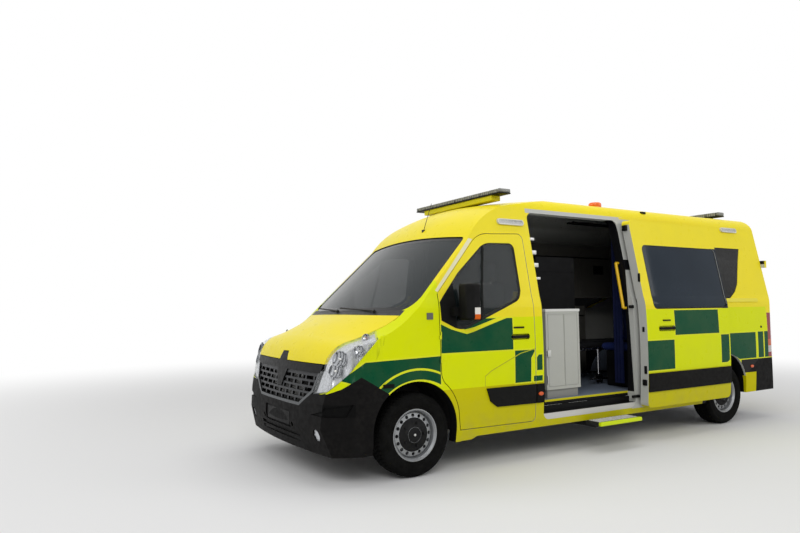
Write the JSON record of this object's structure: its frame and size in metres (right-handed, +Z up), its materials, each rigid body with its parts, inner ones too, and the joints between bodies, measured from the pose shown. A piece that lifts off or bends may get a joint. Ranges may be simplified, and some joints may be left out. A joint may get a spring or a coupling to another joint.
{
  "type": "ambulance van",
  "caption": "High-roof panel van fitted out as an ambulance, sliding side door open, with turning wheels, steering, hinged cab and rear doors and bonnet.",
  "frame": {"origin": "on the ground, at the middle of the whole vehicle's length and width", "axes": "+X towards the tail, +Y to the vehicle's right, +Z up"},
  "size_m": [6.1933, 2.47, 2.574],
  "materials": {
    "lime_paint": "gloss",
    "pale_lime_paint": "gloss",
    "black_plastic": "matte",
    "lamp_lens": "clear",
    "bar_lens": "gloss",
    "red_lens": "gloss",
    "amber_lens": "gloss",
    "clear_glass": "clear",
    "dark_glass": "tinted",
    "floor_vinyl": "satin",
    "chassis_black": "satin",
    "engine_metal": "cast",
    "white_panel": "satin",
    "dark_trim": "grained",
    "seat_fabric": "woven",
    "bright_tube": "polished",
    "grab_yellow": "gloss",
    "step_alloy": "ribbed",
    "tyre": "matte",
    "wheel_steel": "satin"
  },
  "bodies": {
    "root": {"front_structure": "lime_paint", "front_suspension": "chassis_black", "front_wings": "lime_paint", "front_bumper": "black_plastic", "grille": "black_plastic", "headlamps": "lamp_lens", "scuttle": "black_plastic", "windscreen": "clear_glass", "side_glass": "dark_glass", "side_left": "lime_paint", "side_right": "lime_paint", "roof": "pale_lime_paint", "floor_pan": "floor_vinyl", "underframe": "chassis_black", "engine": "engine_metal", "radiator": "engine_metal", "rear_axle": "chassis_black", "bulkhead": "white_panel", "cabinet": "white_panel", "lockers": "white_panel", "stretcher": "bright_tube", "mattress": "seat_fabric", "crew_seat": "seat_fabric", "grab_rail": "grab_yellow", "dashboard": "dark_trim", "cab_seats": "seat_fabric", "sliding_door": "lime_paint", "sliding_glass": "dark_glass", "slide_rails": "black_plastic", "body_mouldings": "black_plastic", "rear_bumper": "black_plastic", "tail_lamps": "red_lens", "side_step": "step_alloy", "lightbar": "bar_lens", "rear_lightbar": "bar_lens", "beacon": "amber_lens", "strobes": "lamp_lens", "wipers_aerial": "black_plastic"},
    "bonnet": {"bonnet": "pale_lime_paint"},
    "cab_door_left": {"cab_door_left": "lime_paint", "cab_glass_left": "clear_glass", "door_trim_left": "black_plastic"},
    "rear_door_left": {"rear_door_left": "lime_paint", "rear_glass_left": "dark_glass"},
    "knuckle_left": {"knuckle_left": "chassis_black"},
    "cab_door_right": {"cab_door_right": "lime_paint", "cab_glass_right": "clear_glass", "door_trim_right": "black_plastic"},
    "rear_door_right": {"rear_door_right": "lime_paint", "rear_glass_right": "dark_glass"},
    "knuckle_right": {"knuckle_right": "chassis_black"},
    "steering_wheel": {"steering_wheel": "dark_trim"},
    "wheel_front_left": {"tyre_front_left": "tyre", "rim_front_left": "wheel_steel"},
    "wheel_front_right": {"tyre_front_right": "tyre", "rim_front_right": "wheel_steel"},
    "wheel_rear_left": {"tyre_rear_left": "tyre", "rim_rear_left": "wheel_steel"},
    "wheel_rear_right": {"tyre_rear_right": "tyre", "rim_rear_right": "wheel_steel"}
  },
  "joints": [
    {"name": "steer_left", "type": "hinge", "parent": "root", "child": "knuckle_left", "pos_m": [-2.257, -0.81, 0.345], "axis": [0, 0, 1], "range_deg": [-34, 34]},
    {"name": "roll_front_left", "type": "hinge", "parent": "knuckle_left", "child": "wheel_front_left", "pos_m": [-2.257, -0.865, 0.345], "axis": [0, 1, 0], "continuous": true},
    {"name": "roll_rear_left", "type": "hinge", "parent": "root", "child": "wheel_rear_left", "pos_m": [2.075, -0.865, 0.345], "axis": [0, 1, 0], "continuous": true},
    {"name": "open_cab_door_left", "type": "hinge", "parent": "root", "child": "cab_door_left", "pos_m": [-2.029, -1.037, 1.2], "axis": [0, 0, -1], "range_deg": [0, 70]},
    {"name": "open_rear_door_left", "type": "hinge", "parent": "root", "child": "rear_door_left", "pos_m": [3.083, -0.962, 1.4], "axis": [0, 0, -1], "range_deg": [0, 180]},
    {"name": "steer_right", "type": "hinge", "parent": "root", "child": "knuckle_right", "pos_m": [-2.257, 0.81, 0.345], "axis": [0, 0, 1], "range_deg": [-34, 34]},
    {"name": "roll_front_right", "type": "hinge", "parent": "knuckle_right", "child": "wheel_front_right", "pos_m": [-2.257, 0.865, 0.345], "axis": [0, 1, 0], "continuous": true},
    {"name": "roll_rear_right", "type": "hinge", "parent": "root", "child": "wheel_rear_right", "pos_m": [2.075, 0.865, 0.345], "axis": [0, 1, 0], "continuous": true},
    {"name": "open_cab_door_right", "type": "hinge", "parent": "root", "child": "cab_door_right", "pos_m": [-2.029, 1.037, 1.2], "axis": [0, 0, 1], "range_deg": [0, 70]},
    {"name": "open_rear_door_right", "type": "hinge", "parent": "root", "child": "rear_door_right", "pos_m": [3.083, 0.962, 1.4], "axis": [0, 0, 1], "range_deg": [0, 180]},
    {"name": "open_bonnet", "type": "hinge", "parent": "root", "child": "bonnet", "pos_m": [-2.207, 0, 1.4], "axis": [0, 1, 0], "range_deg": [0, 50]},
    {"name": "turn_steering_wheel", "type": "hinge", "parent": "root", "child": "steering_wheel", "pos_m": [-1.757, 0.44, 1.19], "axis": [0.6157, 0, 0.788], "range_deg": [-545, 545]}
  ],
  "couplings": [
    {"joint": "steer_right", "follows": "steer_left", "ratio": 1},
    {"joint": "turn_steering_wheel", "follows": "steer_left", "ratio": 16}
  ]
}
